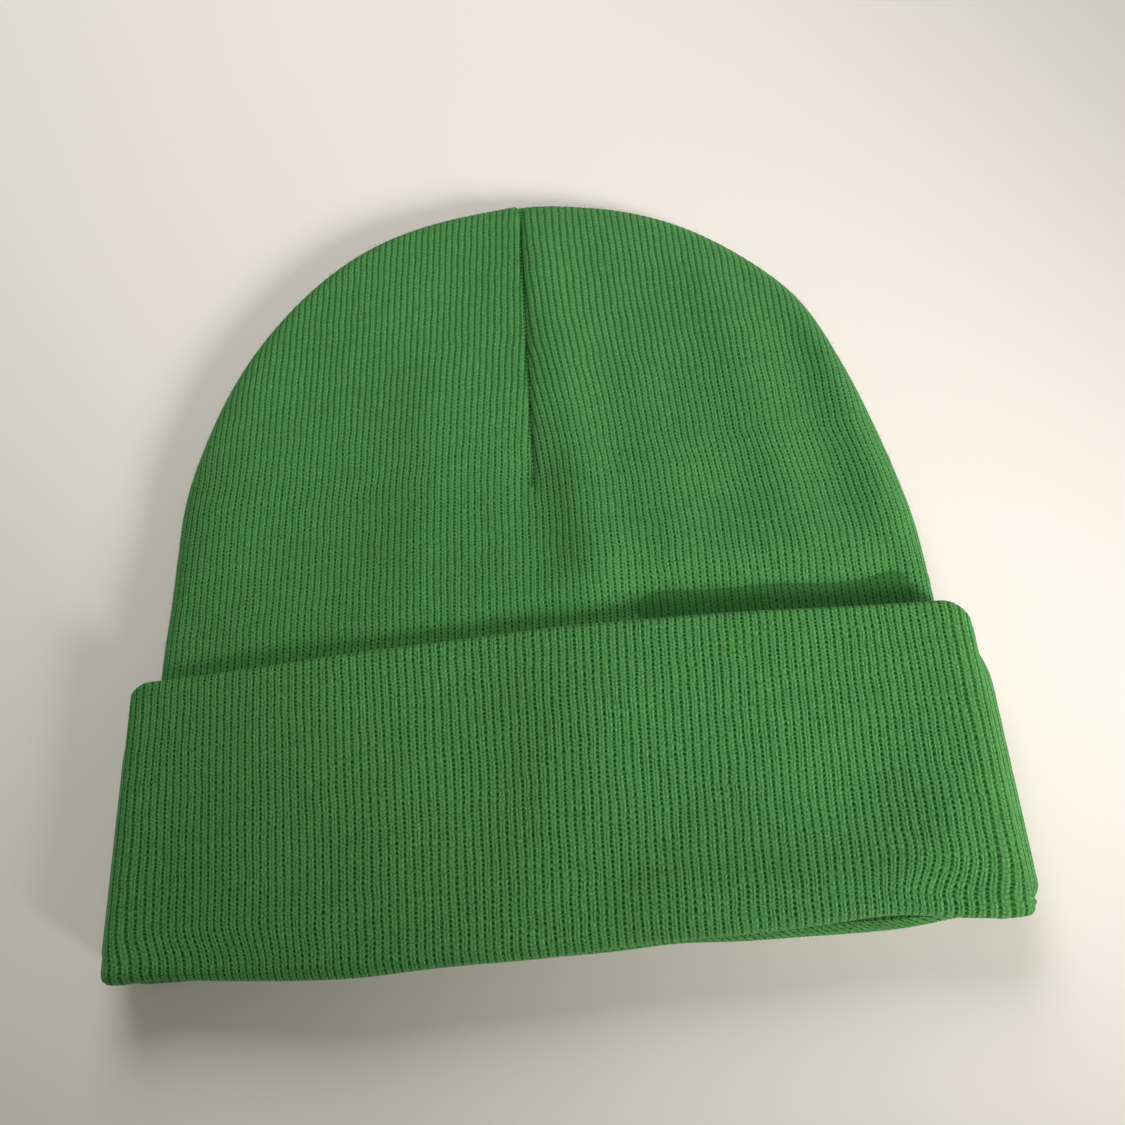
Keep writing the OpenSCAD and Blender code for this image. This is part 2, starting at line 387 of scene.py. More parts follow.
def course_height(course):
    """Height on the body of a course; the courses open out towards the crown."""
    knots = np.arange(0, 260, 1.0)
    pitch = mix(COURSE, CROWN_COURSE, smooth((knots * COURSE - 100) / 45))
    height = np.r_[0, np.cumsum(pitch)]
    return np.interp(course, np.arange(len(height)), height)


def course_at(height):
    """The course at a height on the body."""
    courses = np.arange(0, 260, 0.5)
    return np.interp(height, course_height(courses), courses)


class BodySide:
    """The front (facing 1) or back (facing -1) of a layer of the body, lying `inset` under the outside."""

    # How far each half's cloth has been drawn into the dart at the crown: evenly, and close to the seam.
    DRAW = {1: (4.4, 5.5), -1: (4.4, 1.5)}

    def __init__(self, facing, inset=0.0, shape=front_shape, inside=False):
        self.facing, self.inset, self.shape, self.inside = facing, inset, shape, inside
        self.outline = Outline(inset)
        self.seam_x = DART_X if facing > 0 else 0.0
        self.slope = 0.34 if facing > 0 and inset == 0 else 0.0

    def width(self, y, side):
        """Distance along the cloth from the seam to the side fold."""
        return side * (self.outline.reach(self.outline.flat, y, side) - self.seam_x)

    def along(self, wale, y, side):
        """Distance of a rib from the seam at height y, before the dart takes its part."""
        wide = self.width(np.minimum(y, RIBS_EVEN_TO), side)
        return np.abs(wale) * BODY_WALE * wide / self.width(RIBS_AT, side)

    def drawn(self, y, side):
        """Cloth taken into the dart by height y: the even part and the part close to the seam."""
        even, close = self.DRAW[side if self.facing > 0 else -1]
        risen = np.clip((y - DART_FROM) / (CROWN_Y - DART_FROM), 0, 1)
        return even * risen, close * smooth((y - DART_FROM + 4) / 62)

    def flat_place(self, wale, y):
        """X on the flat cloth of a rib at height y."""
        side = np.where(wale < 0, -1, 1)
        x = np.zeros(len(wale))
        for s in (-1, 1):
            on = side == s
            h = y[on]
            a = self.along(wale[on], h, s)
            even, close = self.drawn(h, s)
            lost = even + close
            from_seam = a - lost
            room = np.maximum(self.width(np.minimum(h, RIBS_EVEN_TO), s) - lost, 1)
            share = np.clip(1 - from_seam / room, 0, 1)
            x[on] = s * (a - even * share - close * np.exp(-np.maximum(from_seam, 0) / 26.0)) + self.seam_x
        return x

    def top_of(self, wale, side):
        """Height at which a rib runs into the outline or into the dart."""
        heights = np.arange(0, CROWN_Y + 8, 0.1)
        x = self.flat_place(np.full(len(heights), wale), heights)
        even, close = self.drawn(heights, side)
        a = self.along(wale, heights, side)
        inside = side * (self.outline.reach(self.outline.flat, heights, side) - x) > -0.02
        inside &= heights < self.outline.flat[:, 1].max()
        inside &= (a >= even + close - 1e-9) | (heights < DART_FROM)
        lost = np.flatnonzero(~inside)
        return heights[lost[0]] if len(lost) else heights[-1]

    def rib_at_crown(self, side):
        """The rib that the dart reaches just at the crown, so that a column there closes it."""
        lost = sum(self.drawn(CROWN_Y - self.inset, side)) + 0.02
        return lost / BODY_WALE * self.width(RIBS_AT, side) / self.width(RIBS_EVEN_TO, side)

    def place(self, wale, course):
        y = course_height(course)
        x = self.flat_place(wale, y) + ripple(wale * 2.0, y, 11, 14, 0.07)
        return self.surface(x, y)

    def surface(self, x, y):
        """Where a point of the flat cloth comes to lie."""
        px, py, angle, far = self.outline.fold(x, y)
        window = smooth((far - 2) / 12)
        thick = half_thickness(py) - self.inset
        thick = thick * (1 - np.where(px > 0, self.slope, self.slope * 0.2) * (1 - smooth(far / 24)))
        lap = 0.2 * (1 - np.sin(angle))
        z = middle_z(py) + self.facing * (thick * np.sin(angle) - lap + self.shape(px, py) * window)
        return np.stack([px, py, np.maximum(z, 0.35)], 1)

    def stretch(self, wale, course):
        """How far the cloth is pulled open: least at the crown, most near the mouth."""
        y = course_height(course)
        top = mix(168, 182, smooth((wale * BODY_WALE - 10) / 60))
        return mix(0.5, 0.92, smooth((top - y) / 55))

    def build(self, name, low_y, high_y=NO_LIMIT, per_rib=4):
        patch = Patch()
        low, high = course_at(low_y), course_at(high_y)
        fine_to = course_at(150.0)
        rows = np.arange(math.ceil(low * 2) / 2, min(high, fine_to), 0.5 if per_rib == 4 else 1.0)
        rows = np.append(rows, np.arange(math.floor(rows[-1]) + 1, high, 1.0)) if high > fine_to else rows
        rows = np.r_[low, rows[rows > low + 0.2]]
        for side in (-1, 1):
            last = self.width(RIBS_AT, side) / BODY_WALE
            wales = rib_columns(0, int(last), per_rib)
            last_in_dart = self.rib_at_crown(side)
            wales = wales[(wales < last - 0.1) & (np.abs(wales - last_in_dart) > 0.06)]
            wales = side * np.sort(np.r_[wales, last_in_dart, last])
            tops = np.array([course_at(self.top_of(w, side)) for w in wales])
            keep = tops > low + 0.6
            tops = np.minimum(tops, high)
            turned = ((side < 0) != (self.facing < 0)) != self.inside
            patch.add_columns(wales[keep], rows, tops[keep], flip=turned)
        return patch.make(name, self.place, self.stretch, weld=True)


# ---- The turned-up cuff: a face, a rolled rim, an inner face, and the fold that joins it to the body
SIDE_FROM = CUFF_HALF_W - 10.5  # where the cuff starts to round over at the sides
SIDE_RUN = 6.8                  # how much further out its edge lies
SIDE_ARC = 8.0                  # length of cloth in that rounding
SIDE_DROP = PLY - 0.1           # how far it has dropped at its very edge
CUFF_EDGE = SIDE_FROM + SIDE_RUN
CUFF_ARC = SIDE_FROM + SIDE_ARC
LEFT_SHARE = 0.989              # the left half of the cuff is a little narrower
SIDE_RIBS = 4                   # ribs in each half of the cuff's side
TURN_ROWS = 12.0                # courses in the short fold at the mouth's side
CORNER = 7.0                    # rounding of the rim's corners
MOUTH_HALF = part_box("front_turn_fold")[0].z / MM - MID_Z
FOLD_LEN = math.pi * (HAT_T - MID_Z - MOUTH_HALF) / 2
ROLL_LEN = math.pi * PLY / 2
FACE_LEN = CUFF_H - 1.5         # cloth from the turning line to where the rim starts to roll
FOLD_ROWS = -FOLD_LEN / COURSE  # the same lengths counted in courses, from the fold upwards
ROLL_ROWS = (FACE_LEN + ROLL_LEN) / COURSE
INNER_ROWS = (2 * FACE_LEN + ROLL_LEN) / COURSE


def curve_through(knots):
    """A function of x through the (x, value) pairs, smoothed."""
    xs, values = np.array(knots, float).T
    fine = np.linspace(-CUFF_HALF_W - 30, CUFF_HALF_W + 30, 801)
    kernel = np.exp(-(np.linspace(-30, 30, 181) / 7.0) ** 2)
    rough = np.interp(fine, xs, values)
    padded = np.r_[np.full(90, rough[0]), rough, np.full(90, rough[-1])]
    even = np.convolve(padded, kernel / kernel.sum(), "valid")
    return lambda x: np.interp(x, fine, even)


# Heights of the front and back folds at the mouth, and of the rim, across the hat.
front_fold_y = curve_through([
    (-112, -0.4), (-104, 0.0), (-92, 0.0), (-76, -0.9), (-60, -1.3), (-44, -1.4), (-28, -0.7), (0, -0.6),
    (25, 1.0), (45, 1.7), (60, 2.4), (78, 4.2), (90, 1.6), (104, 0.5), (112, -0.2)])
back_fold_y = curve_through([
    (-112, 1.4), (-20, 1.3), (0, 0.8), (17, 1.2), (29, 2.2), (40, 1.2), (60, 1.4), (74, 1.3), (84, 1.6),
    (92, 3.4), (112, 3.2)])
rim_y = curve_through([
    (-106, 70.0), (-86, 70.4), (-45, 72.6), (7, 74.2), (50, 73.4), (85, 71.8), (106, 71.0)])


def cuff_face_shape(x, y):
    """How the front of the cuff stands above or below an even surface."""
    return (
        bump(x, y, (74, 29), (15, 12), -1.7)
        + bump(x, y, (92, 16), (10, 11), 1.2)
        + bump(x, y, (22, 58), (30, 18), 1.6)
        + bump(x, y, (-13, 44), (15, 22), -1.6)
        + bump(x, y, (-98, 8), (34, 28), -2.5)
        + bump(x, y, (-46, -2), (26, 17), 1.7)
        + ridge(x, y, (24, 8), (84, 7), 6.5, 1.7)
        + ripple(x, y, 21, 34, 0.14)
    )


def cuff_back_shape(x, y):
    return ripple(x, y, 24, 34, 0.1)


class CuffSide:
    """The front (facing 1) or back (facing -1) half of the cuff's tube, pressed flat."""

    def __init__(self, facing, fold_y, shape):
        self.facing, self.fold_y, self.shape = facing, fold_y, shape

    def across(self, wale, y):
        """X of a rib, and how far it has dropped round the side; the ribs fan out a little upwards."""
        a = wale * CUFF_WALE
        u = a / CUFF_ARC
        a = a + np.sin(math.pi * u) * np.where(u < 0, 0.062, 0.04) * y + ripple(a, y, 31, 15, 0.07)
        gathered = 3.4 * smooth((10 - y) / 11)
        a = a - gathered * np.exp(-(((wale * CUFF_WALE - 90) / 13) ** 2))
        a = a + gathered * np.exp(-(((wale * CUFF_WALE + 84) / 22) ** 2))
        side = np.clip((np.abs(a) - SIDE_FROM) / SIDE_ARC, 0, 1) * math.pi / 2
        x = np.where(np.abs(a) > SIDE_FROM, np.sign(a) * (SIDE_FROM + SIDE_RUN * np.sin(side)), a)
        return x * np.where(x < 0, LEFT_SHARE, 1.0), SIDE_DROP * (1 - np.cos(side))

    def top(self, x):
        beyond = np.clip(np.abs(x) - (CUFF_EDGE - CORNER), 0, CORNER)
        return rim_y(x) - (CORNER - np.sqrt(CORNER**2 - beyond**2))

    def depth(self, x, y, drop):
        """Distance of the face from the middle of the hat."""
        inside = smooth((CUFF_EDGE - 2 - np.abs(x)) / 14)
        return HAT_T - MID_Z - 0.1 - drop + self.shape(x, y) * inside

    def place(self, wale, course):
        """A point of the cloth: below 0 is the fold, then the face, the rim's roll, and the inner face."""
        s = course * COURSE
        x, drop = self.across(wale, np.clip(s, 0, FACE_LEN))
        low, top = self.fold_y(x), self.top(x)
        inner = CUFF_IN_Z - MID_Z
        share = np.clip(s / FACE_LEN, 0, 1)
        face = self.depth(x, low + (top - low) * share, drop)
        roll = np.maximum(face - inner, 0.1) / 2
        y = low + (top - roll - low) * share
        out = np.array(face)

        turned = np.clip((s - FACE_LEN) / (ROLL_LEN / math.pi), 0, math.pi)
        rolling = s > FACE_LEN
        y = np.where(rolling, top - roll + roll * np.sin(turned), y)
        out = np.where(rolling, face - roll * (1 - np.cos(turned)), out)

        under = s - FACE_LEN - ROLL_LEN
        inward = under > 0
        y = np.where(inward, mix(top - roll, 0.0, np.clip(under / FACE_LEN, 0, 1)), y)
        out = np.where(inward, inner, out)

        radius = (face - MOUTH_HALF) / 2
        angle = np.clip(-s / FOLD_LEN, 0, 1) * math.pi
        folding = s < 0
        y = np.where(folding, low - radius * np.sin(angle), y)
        out = np.where(folding, MOUTH_HALF + radius + radius * np.cos(angle), out)
        narrow = 1 - (1 - BODY_HALF_W / CUFF_HALF_W) * smooth(angle / math.pi * 2 - 1)
        x = np.where(folding, x * narrow, x)
        return np.stack([x, y, MID_Z + self.facing * out], 1)

    def stretch(self, wale, course):
        return np.where(np.abs(wale * CUFF_WALE) > SIDE_FROM, 0.75, 1.0) * np.ones(len(course))

    def build(self, name, low, high, per_rib, step, depth=1.0):
        patch = Patch()
        rows = np.arange(math.ceil(low / step) * step, high, step)
        rows = np.r_[low, rows[(rows > low + 0.2) & (rows < high - 0.2)]]
        last = CUFF_ARC / CUFF_WALE
        wales = rib_columns(0, int(last), per_rib)
        wales = np.r_[wales[wales < last - 0.1], last]
        wales = np.r_[-wales[:0:-1], wales]
        patch.add_columns(wales, rows, np.full(len(wales), high), flip=self.facing < 0)
        return patch.make(name, self.place, self.stretch, depth)


def side_x(side, z, y, length, half_t):
    """How far out the cuff's side bulges, at a distance z from the middle of the hat."""
    middle = CUFF_HALF_W - (0.5 if side > 0 else 1.9)
    edge = CUFF_EDGE * (1.0 if side > 0 else LEFT_SHARE)
    inward = np.clip(z / half_t, -1, 1) ** 2
    round_top = 3.4 * smooth((y - length + 17) / 17) ** 2
    round_foot = 2.6 * smooth((6 - y) / 6) ** 2
    return mix(middle, edge, inward) - (round_top + round_foot) * (1 - 0.4 * inward)


def side_strip(name, rows, top, place, flip, depth, thickness):
    """A narrow strip of thick knit at the cuff's side."""
    patch = Patch()
    wales = rib_columns(-SIDE_RIBS, SIDE_RIBS)
    patch.add_columns(wales, rows, np.full(len(wales), top), flip)
    piece = patch.make(name, place, lambda wale, course: np.full(len(wale), 0.8), depth)
    return thicken(piece, thickness)


def side_wall(name, side, length, half_t=6.6):
    """The cuff's side, which joins its front and back."""
    def place(wale, course):
        z = wale / SIDE_RIBS * half_t
        y = 0.2 + course * COURSE
        return np.stack([side * side_x(side, z, y, length, half_t), y, MID_Z - z], 1)

    top = length / COURSE
    return side_strip(name, np.arange(0, top, 0.5), top, place, side < 0, 0.8, 1.4)


def side_turn(name, side, length, half_t=6.8):
    """The short fold between the body's side and the cuff's side."""
    def place(wale, course):
        z = wale / SIDE_RIBS * half_t
        angle = course / TURN_ROWS * math.pi
        start = BODY_HALF_W - 2
        reach = (side_x(side, z, 1.0, length, half_t) - 0.2 - start) / 2
        x = start + reach - reach * np.cos(angle)
        return np.stack([side * x, 1.3 - 1.5 * np.sin(angle), MID_Z - z], 1)

    return side_strip(name, np.arange(0, TURN_ROWS, 0.5), TURN_ROWS, place, side > 0, 0.7, 1.0)


def thicken(piece, thickness):
    """Gives a sheet its thickness, inwards."""
    solid = piece.modifiers.new("thickness", "SOLIDIFY")
    solid.thickness = thickness * MM
    solid.offset = -1
    solid.use_even_offset = False
    return flatten_modifiers(piece)


def flatten_modifiers(piece):
    graph = bpy.context.evaluated_depsgraph_get()
    mesh = bpy.data.meshes.new_from_object(piece.evaluated_get(graph), depsgraph=graph)
    piece.modifiers.clear()
    old = piece.data
    piece.data = mesh
    bpy.data.meshes.remove(old)
    mesh.name = piece.name
    return piece


# ---- Node helpers
def colour(red, green, blue):
    """A screen colour of 0 to 255 as a linear one."""
    def linear(c):
        c /= 255
        return c / 12.92 if c <= 0.04045 else ((c + 0.055) / 1.055) ** 2.4
    return (linear(red), linear(green), linear(blue), 1.0)


class Nodes:
    """Short words for building a node tree."""

    def __init__(self, tree):
        self.tree = tree

    def add(self, kind, inputs=None, **settings):
        """A node with these settings and inputs."""
        node = self.tree.nodes.new(kind)
        for key, value in settings.items():
            setattr(node, key, value)
        for key, value in (inputs or {}).items():
            self.feed(node.inputs[key], value)
        return node

    def feed(self, socket, value):
        if isinstance(value, bpy.types.NodeSocket):
            self.tree.links.new(value, socket)
        else:
            socket.default_value = value

    def math(self, operation, *values, clamp=False):
        node = self.add("ShaderNodeMath", operation=operation, use_clamp=clamp)
        for socket, value in zip(node.inputs, values):
            self.feed(socket, value)
        return node.outputs[0]

    def times(self, a, b, clamp=False):
        return self.math("MULTIPLY", a, b, clamp=clamp)

    def times_plus(self, a, b, c):
        return self.math("MULTIPLY_ADD", a, b, c)

    def step(self, value, low, high, start=0.0, end=1.0):
        """A soft step from start to end as value goes from low to high."""
        inputs = {"Value": value, "From Min": low, "From Max": high, "To Min": start, "To Max": end}
        return self.add("ShaderNodeMapRange", inputs, interpolation_type="SMOOTHSTEP").outputs["Result"]

    def mix(self, share, a, b):
        return self.add("ShaderNodeMix", {"Factor": share, 6: a, 7: b}, data_type="RGBA").outputs[2]

    def noise(self, where, scale, detail=2.0, roughness=0.5, distortion=0.0):
        inputs = {"Vector": where, "Scale": scale, "Detail": detail, "Roughness": roughness,
                  "Distortion": distortion}
        return self.add("ShaderNodeTexNoise", inputs).outputs["Fac"]


def add_sockets(tree, way, sockets):
    """Sockets of a node group, each (name, kind) or (name, kind, default)."""
    for label, kind, *default in sockets:
        socket = tree.interface.new_socket(label, in_out=way, socket_type="NodeSocket" + kind)
        if default:
            socket.default_value = default[0]


def new_group(name, inputs, outputs):
    """An empty shader group, its nodes, and its inner ends."""
    group = bpy.data.node_groups.new(name, "ShaderNodeTree")
    add_sockets(group, "INPUT", inputs)
    add_sockets(group, "OUTPUT", outputs)
    n = Nodes(group)
    return group, n, n.add("NodeGroupInput").outputs, n.add("NodeGroupOutput").inputs


def yarn_group():
    """The spun yarn: its tone, uneven over the cloth and from fibre to fibre, and its fibres' height."""
    group, n, given, out = new_group(
        "yarn", [("Place", "Vector"), ("Tone", "Color", (0.1, 0.3, 0.1, 1))],
        [("Color", "Color"), ("Fibres", "Float")])
    slow = n.noise(given["Place"], 34.0, 2.0)
    fine = n.noise(given["Place"], 2300.0, 2.0, 0.6)
    stray = n.noise(given["Place"], 620.0, 3.0, 0.65, 0.6)
    value = n.times_plus(slow, 0.22, 0.89)
    value = n.times(value, n.step(fine, 0.34, 0.66, 0.81, 1.19))
    value = n.times(value, n.times_plus(stray, 0.5, 0.75))
    scale = n.add("ShaderNodeVectorMath", {0: given["Tone"], "Scale": value}, operation="SCALE")
    n.feed(out["Color"], scale.outputs[0])
    n.feed(out["Fibres"], n.math("ADD", fine, n.times(stray, 0.8)))
    return group


def rib_group():
    """Masks of the rib knit: the grooves between ribs and the holes in them, where shade is painted, and the
    stitches' legs, where a highlight is painted; and the knit's height for bumps.

    The cloth's own attribute counts ribs in X and courses in Y, and Z is how far the cloth is stretched."""
    group, n, given, out = new_group(
        "rib_knit", [("Knit", "Vector"), ("Place", "Vector")],
        [("Groove", "Float"), ("Hole", "Float"), ("Leg", "Float"), ("Height", "Float")])
    parts = n.add("ShaderNodeSeparateXYZ", {0: given["Knit"]})
    stray = n.times_plus(n.noise(given["Place"], 900.0, 2.0, 0.6), 0.12, -0.06)
    rib = n.math("ADD", parts.outputs["X"], stray)
    course = n.math("ADD", parts.outputs["Y"], n.times(stray, 1.4))
    stretch = parts.outputs["Z"]
    cell = n.add("ShaderNodeCombineXYZ", {0: n.math("ROUND", rib), 1: n.math("ROUND", course)})
    chance = n.add("ShaderNodeTexWhiteNoise", {"Vector": cell.outputs[0]}, noise_dimensions="2D")
    own = chance.outputs["Value"]
    to_groove = n.math("PINGPONG", rib, 0.5)
    to_hole = n.math("PINGPONG", course, 0.5)
    # Painted shade in the grooves, and in the holes where the cloth is stretched.
    groove = n.step(to_groove, 0.02, 0.2, 1.0, 0.0)
    near = n.step(to_hole, 0.12, n.times_plus(own, 0.1, 0.32), 1.0, 0.0)
    hole = n.times(n.step(to_groove, 0.07, 0.2, 1.0, 0.0), near)
    strength = n.times_plus(own, 0.3, 0.95)
    hole = n.times(n.times(hole, stretch), strength, clamp=True)
    # Painted shade along the middle of each rib, between its two legs.
    between = n.times(n.step(to_groove, 0.34, 0.47), n.times(own, stretch))
    # Thin lines between successive stitches: painted shade across the legs' painted highlight, and a dip in
    # the height.
    slant = n.math("PINGPONG", n.times_plus(to_groove, 1.2, course), 0.5)
    loop = n.step(slant, 0.0, 0.2, 1.0, 0.0)
    leg = n.times(n.step(to_groove, 0.12, 0.25), n.times_plus(between, -1.0, 1.0))
    groove = n.times(groove, n.times_plus(stretch, -0.95, 1.1))
    n.feed(out["Groove"], n.math("MAXIMUM", groove, n.times(between, 0.9)))
    n.feed(out["Hole"], hole)
    leg = n.times(leg, n.times_plus(own, 0.7, 0.65))
    n.feed(out["Leg"], n.times(leg, n.times_plus(loop, -0.9, 1.0), clamp=True))
    height = n.math("SUBTRACT", leg, n.times(loop, 0.6))
    n.feed(out["Height"], n.math("SUBTRACT", height, n.times(hole, 0.6)))
    return group


def new_material(name, roughness=0.88, sheen=0.26):
    """A matte surface, with its nodes and the place on the piece."""
    material = bpy.data.materials.new(name)
    material.use_nodes = True
    material.node_tree.nodes.clear()
    n = Nodes(material.node_tree)
    surface = n.add("ShaderNodeBsdfPrincipled", {
        "Roughness": roughness, "Specular IOR Level": 0.14, "Sheen Weight": sheen, "Sheen Roughness": 0.45,
        "Sheen Tint": (0.5, 1.0, 0.5, 1)})
    n.add("ShaderNodeOutputMaterial", {"Surface": surface.outputs[0]})
    return material, n, surface, n.add("ShaderNodeTexCoord").outputs["Object"]


def spin(n, surface, groups, place, tone):
    """Colours the surface as yarn of that tone, and gives the height of its fibres."""
    yarn = n.add("ShaderNodeGroup", {"Place": place, "Tone": tone}, node_tree=groups["yarn"]).outputs
    n.feed(surface.inputs["Base Color"], yarn["Color"])
    return yarn["Fibres"]


def raise_surface(n, surface, height, strength, distance):
    """Bumps too fine for the mesh."""
    bumps = n.add("ShaderNodeBump", {"Height": height, "Strength": strength, "Distance": distance})
    n.feed(surface.inputs["Normal"], bumps.outputs[0])


def knit_material(name, groups, tone, groove_shade, hole_shade, leg_highlight):
    """Rib knit in four tones: the yarn's own tone, painted shade in the grooves and in the holes, and a
    painted highlight on the stitches' legs.
    """
    material, n, surface, place = new_material(name)
    knit = n.add("ShaderNodeAttribute", attribute_name="knit").outputs["Vector"]
    rib = n.add("ShaderNodeGroup", {"Knit": knit, "Place": place}, node_tree=groups["rib"]).outputs
    # Painted highlight on the legs, then painted shade in the grooves and in the holes.
    tint = n.mix(rib["Leg"], tone, leg_highlight)
    tint = n.mix(n.times(rib["Groove"], 0.8), tint, groove_shade)
    tint = n.mix(rib["Hole"], tint, hole_shade)
    fibres = spin(n, surface, groups, place, tint)
    height = n.math("ADD", n.times(rib["Height"], 0.5), n.times(fibres, 0.5))
    raise_surface(n, surface, height, 0.7, 0.00022)
    return material


def thread_material(name, groups, tone, sheen=0.2):
    """Plain yarn or thread."""
    material, n, surface, place = new_material(name, sheen=sheen)
    raise_surface(n, surface, spin(n, surface, groups, place, tone), 0.5, 0.0001)
    return material


def floor_material():
    material, n, surface, place = new_material("pale_floor", roughness=0.7, sheen=0.0)
    tone = n.mix(n.noise(place, 3.0), colour(228, 220, 212), colour(236, 229, 222))
    n.feed(surface.inputs["Base Color"], tone)
    return material


# ---- The scene
def add_camera():
    camera = bpy.data.cameras.new("camera")
    camera.sensor_width = 36
    camera.lens = 36.48
    camera.clip_start = 0.01
    seat = show("camera", camera)
    right = Vector((0.9906362, -0.05556044, -0.12471146))
    up = Vector((0.10284331, 0.90445688, 0.41398188))
    back = Vector((0.08979513, -0.42293118, 0.90170175))
    turn = Matrix((right, up, back)).transposed().to_4x4()
    seat.matrix_world = Matrix.Translation((0.034844, TURN_Y - 0.031895, 0.282001)) @ turn
    bpy.context.scene.camera = seat


def add_light(name, place, aim, size, watts, tint=(1, 1, 1), beam=None):
    """A square soft light, or with a beam in degrees a soft-edged spot."""
    light = bpy.data.lights.new(name, "SPOT" if beam else "AREA")
    if beam:
        light.spot_size = math.radians(beam)
        light.spot_blend = 1.0
        light.shadow_soft_size = size
    else:
        light.size = size
    light.energy = watts
    light.color = tint
    turn = (Vector(aim) - Vector(place)).to_track_quat("-Z", "Y")
    show(name, light).matrix_world = Matrix.Translation(place) @ turn.to_matrix().to_4x4()


def add_floor():
    mesh = bpy.data.meshes.new("floor")
    mesh.from_pydata([(-4, -4, 0), (4, -4, 0), (4, 4, 0), (-4, 4, 0)], [], [(0, 1, 2, 3)])
    mesh.materials.append(floor_material())
    show("floor", mesh)


def add_surroundings():
    world = bpy.data.worlds.new("soft_room")
    world.use_nodes = True
    sky = world.node_tree.nodes["Background"].inputs
    sky["Color"].default_value = (0.97, 1.0, 0.92, 1)
    sky["Strength"].default_value = 0.21
    bpy.context.scene.world = world
    bpy.context.scene.view_settings.view_transform = "Standard"
    add_light("window", (0.46, -0.42, 0.30), (0.04, 0.05, 0.0), 0.1, 25.0, (1.0, 0.97, 0.94), beam=38)
    add_light("fill", (-0.04, 0.52, 0.6), (0.0, 0.08, 0.0), 0.5, 3.5)


# ---- Stitches and loose fibres, by Geometry Nodes
def new_geometry_tree(name, inputs):
    tree = bpy.data.node_groups.new(name, "GeometryNodeTree")
    add_sockets(tree, "INPUT", [("Geometry", "Geometry")] + inputs)
    add_sockets(tree, "OUTPUT", [("Geometry", "Geometry")])
    n = Nodes(tree)
    return tree, n, n.add("NodeGroupInput").outputs, n.add("NodeGroupOutput").inputs["Geometry"]


def vector_of(n, x, y, z):
    return n.add("ShaderNodeCombineXYZ", {"X": x, "Y": y, "Z": z}).outputs[0]


def end_tree(n, instances, material, out):
    """Every tree ends the same way: real geometry with its material."""
    real = n.add("GeometryNodeRealizeInstances", {0: instances})
    dressed = n.add("GeometryNodeSetMaterial", {"Geometry": real.outputs[0], "Material": material})
    n.feed(out, dressed.outputs[0])


def strand(n, start, middle, end, segments, radius, sides):
    """A bent piece of yarn as a small tube."""
    bent = n.add("GeometryNodeCurveQuadraticBezier", {
        "Resolution": segments, "Start": start, "Middle": middle, "End": end})
    ring = n.add("GeometryNodeCurvePrimitiveCircle", {"Resolution": sides, "Radius": radius})
    return n.add("GeometryNodeCurveToMesh", {
        "Curve": bent.outputs[0], "Profile Curve": ring.outputs[0], "Fill Caps": True}).outputs[0]


def stitch_tree():
    """Stitches of thread that cross a seam's path, slanted, one every course."""
    tree, n, given, out = new_geometry_tree("seam_stitches", [
        ("Spacing", "Float", 0.00134), ("Length", "Float", 0.0016), ("Slant", "Float", 0.0007),
        ("Radius", "Float", 0.00018), ("Across", "Vector", (1, 0, 0)), ("Material", "Material")])
    path = n.add("GeometryNodeMeshToCurve", {0: given["Geometry"]})
    spaced = n.add("GeometryNodeResampleCurve", {"Curve": path.outputs[0], "Length": given["Spacing"]},
                   mode="LENGTH")
    half = n.times(given["Length"], 0.5)
    lean = n.times(given["Slant"], 0.5)
    start = vector_of(n, n.times(half, -1.0), n.times(lean, -1.0), 0.0)
    middle = vector_of(n, 0.0, 0.0, n.times(given["Radius"], 1.5))
    stitch = strand(n, start, middle, vector_of(n, half, lean, 0.0), 4, given["Radius"], 5)
    along = n.add("GeometryNodeInputTangent").outputs[0]
    turn = n.add("FunctionNodeAxesToRotation", {"Primary Axis": given["Across"], "Secondary Axis": along},
                 primary_axis="X", secondary_axis="Y")
    placed = n.add("GeometryNodeInstanceOnPoints", {
        "Points": spaced.outputs[0], "Instance": stitch, "Rotation": turn.outputs[0]})
    end_tree(n, placed.outputs[0], given["Material"], out)
    return tree


def fibre_tree():
    """Loose fibres that stand a little off the yarn."""
    tree, n, given, out = new_geometry_tree("loose_fibres", [
        ("Density", "Float", 150000.0), ("Length", "Float", 0.0011), ("Radius", "Float", 0.00002),
        ("Seed", "Int", 4), ("Material", "Material")])
    spread = n.add("GeometryNodeDistributePointsOnFaces", {
        "Mesh": given["Geometry"], "Density": given["Density"], "Seed": given["Seed"]})
    far = n.times(given["Length"], 0.85)
    up = n.times(given["Length"], 0.4)
    part = n.times(given["Length"], 0.3)
    fibre = strand(n, vector_of(n, 0.0, 0.0, 0.0), vector_of(n, part, 0.0, up), vector_of(n, far, 0.0, up),
                   3, given["Radius"], 3)
    tilt = n.add("FunctionNodeRandomValue", {
        0: (-0.5, -0.9, 0.0), 1: (0.5, 0.3, math.tau), "Seed": given["Seed"]}, data_type="FLOAT_VECTOR")
    turned = n.add("FunctionNodeRotateRotation", {
        "Rotation": spread.outputs["Rotation"], "Rotate By": tilt.outputs[0]}, rotation_space="LOCAL")
    size = n.add("FunctionNodeRandomValue", {2: 0.4, 3: 1.5, "Seed": given["Seed"]}, data_type="FLOAT")
    placed = n.add("GeometryNodeInstanceOnPoints", {
        "Points": spread.outputs["Points"], "Instance": fibre, "Rotation": turned.outputs[0],
        "Scale": size.outputs[1]})
    end_tree(n, placed.outputs[0], given["Material"], out)
    return tree


